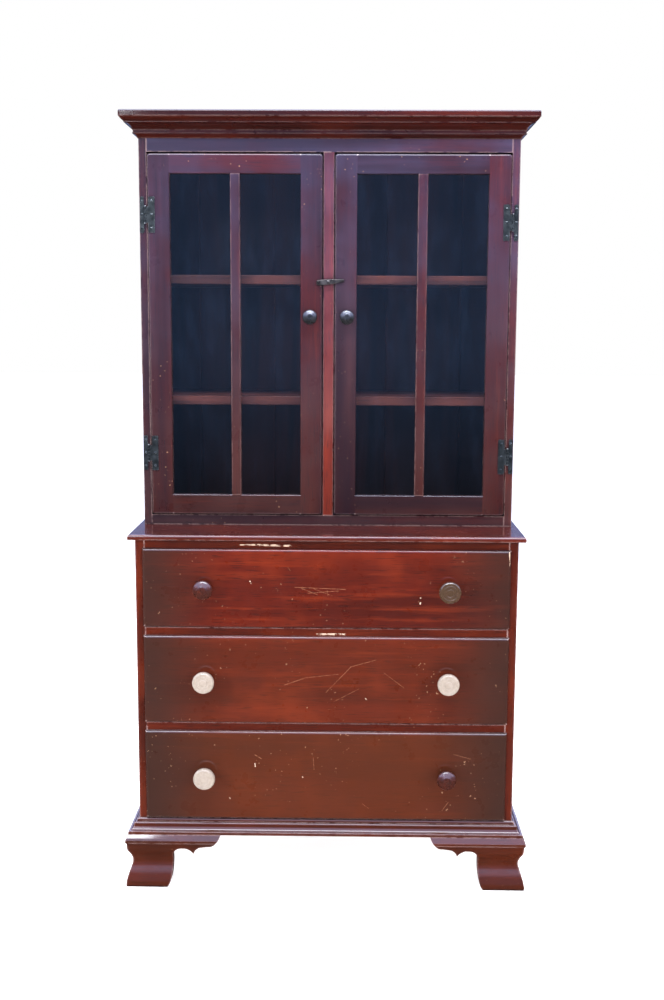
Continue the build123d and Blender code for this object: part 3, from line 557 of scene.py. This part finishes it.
def dress_drawers():
    """Scratched fronts with dark ends, browner from top to bottom, on boxes of bare poplar."""
    for index, name in enumerate(DRAWERS):
        node = name + "_front"
        low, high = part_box(node)
        burst = ((low.x + high.x) / 2, (high.x - low.x) / 2)
        front = mahogany(node, "X", 21.0 + 4 * index, shade=1.45, brown=0.35 * index, wear=0.8,
                         burst=burst, scratches=marks_on(node, DRAWER_SCRATCHES),
                         chips=marks_on(node, DRAWER_CHIPS))
        assign(node, front)
        assign(name + "_box", bare_wood(name + "_box", "Y", 15.0 + index, *POPLAR))
        assign(name + "_bottom", bare_wood(name + "_bottom", "X", 18.0 + index, *POPLAR))


def dress_doors():
    """Stiles and rails, rubbed and lightened as painted highlight lines on a door's outline
    only, then muntins and glazing beads.
    """
    for index, side in enumerate(("left", "right")):
        door = "door_" + side + "_"
        for part, direction in (("stiles", "Z"), ("rails", "X"), ("muntin", "Z"),
                                ("glazing_beads", "Z")):
            seed = 71.0 + 7 * index + len(part)
            framing = part in ("stiles", "rails")
            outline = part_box(door + "stiles") if framing else None
            wear = 0.9 if framing else 0.4
            assign(door + part,
                   mahogany(door + part, direction, seed, wear=wear, outline=outline, **DOOR))


def dress_inside():
    """Shelves and boards of the upper case, and the chest's bare back, floor and blocks."""
    inside = {"upper_back_boards": "Z", "shelf_upper": "X", "shelf_lower": "X",
              "shelf_cleats": "Y", "upper_floor_board": "X", "upper_top_board": "X"}
    rear_skin = 0.0005
    for index, (node, direction) in enumerate(inside.items()):
        red = 1.1 if node.startswith("shelf_") else 0.35
        bare_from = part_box(node)[1].y - rear_skin if node == "upper_back_boards" else None
        assign(node, interior_wood(node, direction, 31.0 + index, red, bare_from))
    plain = {"chest_back": "X", "chest_floor": "X", "drawer_runners": "Y",
             "foot_glue_blocks": "Z"}
    for index, (node, direction) in enumerate(plain.items()):
        assign(node, bare_wood(node, direction, 11.0 + index, *PINE))


def dress_knobs():
    """Brown domes, one worn flat brown knob and three pale replacements.

    The lathe rings of a pair turn about its right-hand knob.
    """
    cream = ((0.27, 0.215, 0.165), (0.37, 0.305, 0.240), (0.43, 0.38, 0.32), 0.4, (0.42, 0.6))
    brown = ((0.032, 0.0080, 0.005), (0.062, 0.013, 0.007), (0.24, 0.10, 0.06), 0.3, (0.2, 0.32))
    olive = (0.058, 0.034, 0.017)
    for node, look in (("drawer_bottom_knob_left", cream), ("drawer_bottom_knob_right", brown)):
        low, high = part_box(node)
        assign(node, knob_wood(node, (low + high) / 2, *look))
    for node, look, faded in (("drawer_top_knobs", brown, olive),
                              ("drawer_middle_knobs", cream, None)):
        low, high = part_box(node)
        centre = Vector((high.x - KNOB_RADIUS, 0, (low.z + high.z) / 2))
        assign(node, knob_wood(node, centre, *look, faded=faded))


def dress_fittings():
    """Hinges, pins, screws, turn button, door knobs and glass."""
    iron = ((0.030, 0.035, 0.034), (0.058, 0.066, 0.064), (0.34, 0.36, 0.35))
    for index, node in enumerate(("hinge_frame_leaves", "door_left_hinge_leaves",
                                  "door_right_hinge_leaves", "hinge_frame_screws")):
        assign(node, old_metal(node, *iron, seed=1.0 + index))
    bright = ((0.20, 0.20, 0.19), (0.42, 0.42, 0.40), (0.75, 0.75, 0.72))
    assign("hinge_pins", old_metal("hinge_pins", *bright, seed=7.0, gloss=(0.22, 0.4)))
    worn = ((0.04, 0.034, 0.031), (0.13, 0.115, 0.105), (0.60, 0.56, 0.52))
    for index, node in enumerate(("latch_button", "latch_screw")):
        assign(node, old_metal(node, *worn, seed=9.0 + index, gloss=(0.26, 0.5)))
    bronze = ((0.060, 0.062, 0.068), (0.115, 0.112, 0.118), (0.26, 0.22, 0.19))
    for index, side in enumerate(("left", "right")):
        knob = "door_" + side + "_knob"
        assign(knob, old_metal(knob, *bronze, seed=13.0 + index, gloss=(0.24, 0.36)))
        glass = "door_" + side + "_glass"
        assign(glass, old_glass(glass))


# ---------------------------------------------------------------- floor, light, camera

def stage():
    """A wide pale floor with a glow of its own. Gloss doesn't show it."""
    reach, cells = 30.0, 8
    step = 2 * reach / cells
    count = cells + 1
    vertices = []
    for j in range(count):
        for i in range(count):
            vertices.append((i * step - reach, j * step - reach, 0.0))
    faces = []
    for j in range(cells):
        for i in range(cells):
            first = j * count + i
            faces.append((first, first + 1, first + count + 1, first + count))
    mesh = bpy.data.meshes.new("studio_floor")
    mesh.from_pydata(vertices, [], faces)
    floor = bpy.data.objects.new("studio_floor", mesh)
    floor.visible_glossy = False
    bpy.context.scene.collection.objects.link(floor)
    t = Tree("studio_floor")
    colour = t.blend(t.noise(t.place, 3.0, detail=2.0), (0.88, 0.88, 0.88), (0.92, 0.92, 0.91))
    t.shader.inputs["Emission Color"].default_value = (1, 1, 1, 1)
    t.shader.inputs["Emission Strength"].default_value = 0.75
    mesh.materials.append(t.finish(colour, 0.85))


def area_light(name, place, target, size, power, colour, mirrored=False):
    """A soft box aimed at a point. Only a mirrored one shows in gloss and glass."""
    light = bpy.data.lights.new(name, "AREA")
    light.shape = "RECTANGLE"
    light.size, light.size_y = size
    light.energy = power
    light.color = colour
    lamp = bpy.data.objects.new(name, light)
    lamp.location = place
    lamp.visible_glossy = mirrored
    lamp.rotation_euler = (Vector(target) - Vector(place)).to_track_quat("-Z", "Y").to_euler()
    bpy.context.scene.collection.objects.link(lamp)


def lights():
    """A strip overhead, which draws bright lines on top edges, and soft boxes all round."""
    area_light("overhead", (0.0, -1.5, 3.9), (0, 0, 1.0), (3.2, 0.8), 190, (0.88, 0.93, 1.0),
               mirrored=True)
    area_light("small_key", (-1.2, -3.5, 2.6), (0, 0, 1.1), (0.3, 0.3), 8, (0.92, 0.95, 1.0),
               mirrored=True)
    area_light("left_box", (-2.7, -2.3, 1.5), (0, 0, 0.95), (0.6, 2.4), 105, (1.0, 0.98, 0.96))
    area_light("right_box", (2.9, -2.1, 1.4), (0, 0, 0.95), (0.6, 2.2), 90, (1.0, 0.93, 0.86))
    area_light("left_edge", (-3.0, 0.6, 1.6), (0, 0, 1.0), (0.8, 2.2), 80, (1.0, 0.98, 0.96))
    area_light("right_edge", (3.0, 0.6, 1.6), (0, 0, 1.0), (0.8, 2.2), 80, (1.0, 0.93, 0.84))
    area_light("back_box", (0.0, 3.2, 2.2), (0, 0, 0.9), (2.4, 2.0), 70, (1.0, 0.98, 0.95))


def sky():
    """White to the camera. As light and in reflections, dark below and pale blue overhead."""
    ramp_start, ramp_end = -0.5, 0.9      # sines of the heights above the horizon
    below = (0.006, 0.005, 0.005, 1)
    above = (0.50, 0.57, 0.85, 1)
    between = ((0.25, (0.008, 0.009, 0.012, 1)), (0.34, (0.028, 0.048, 0.095, 1)),
               (0.49, (0.032, 0.050, 0.100, 1)), (0.62, (0.45, 0.52, 0.85, 1)))
    strength, glossy_strength = 1.0, 4.5
    world = bpy.data.worlds.new("soft_sky")
    world.use_nodes = True
    nodes_of = world.node_tree.nodes
    links = world.node_tree.links
    place = nodes_of.new("ShaderNodeTexCoord")
    split = nodes_of.new("ShaderNodeSeparateXYZ")
    lift = nodes_of.new("ShaderNodeMapRange")
    lift.inputs["From Min"].default_value = ramp_start
    lift.inputs["From Max"].default_value = ramp_end
    ramp = nodes_of.new("ShaderNodeValToRGB")
    steps = ramp.color_ramp.elements
    steps[0].color = below
    steps[1].color = above
    for position, colour in between:
        steps.new(position).color = colour
    seen = nodes_of.new("ShaderNodeLightPath")
    bright = nodes_of.new("ShaderNodeMapRange")
    bright.inputs["To Min"].default_value = strength
    bright.inputs["To Max"].default_value = glossy_strength
    glow = nodes_of["Background"]
    plain = nodes_of.new("ShaderNodeBackground")
    plain.inputs["Color"].default_value = (1, 1, 1, 1)
    plain.inputs["Strength"].default_value = 1.0
    chosen = nodes_of.new("ShaderNodeMixShader")
    links.new(place.outputs["Generated"], split.inputs[0])
    links.new(split.outputs["Z"], lift.inputs["Value"])
    links.new(lift.outputs[0], ramp.inputs[0])
    links.new(ramp.outputs[0], glow.inputs["Color"])
    links.new(seen.outputs["Is Glossy Ray"], bright.inputs["Value"])
    links.new(bright.outputs[0], glow.inputs["Strength"])
    links.new(seen.outputs["Is Camera Ray"], chosen.inputs[0])
    links.new(glow.outputs[0], chosen.inputs[1])
    links.new(plain.outputs[0], chosen.inputs[2])
    links.new(chosen.outputs[0], nodes_of["World Output"].inputs[0])
    bpy.context.scene.world = world


def camera():
    """Eye above the waist board's height, three metres off, looking slightly down."""
    place = (0.0518, -3.0905, 1.374)
    yaw, pitch, roll = (math.radians(angle) for angle in (0.778, 8.179, 0.27))
    lens_mm, sensor_mm = 44.3376, 36.0
    data = bpy.data.cameras.new("camera")
    data.sensor_width = sensor_mm
    data.lens = lens_mm
    eye = bpy.data.objects.new("camera", data)
    forward = Vector((-math.sin(yaw) * math.cos(pitch), math.cos(yaw) * math.cos(pitch),
                      -math.sin(pitch)))
    level = Vector((math.cos(yaw), math.sin(yaw), 0))
    upward = level.cross(forward)
    right = level * math.cos(roll) + upward * math.sin(roll)
    turned_up = right.cross(forward)
    turn = Matrix((right, turned_up, -forward)).transposed().to_4x4()
    eye.matrix_world = Matrix.Translation(place) @ turn
    bpy.context.scene.collection.objects.link(eye)
    bpy.context.scene.camera = eye


bpy.context.scene.view_settings.view_transform = "Standard"
dress_case()
dress_drawers()
dress_doors()
dress_inside()
dress_knobs()
dress_fittings()
stage()
lights()
sky()
camera()
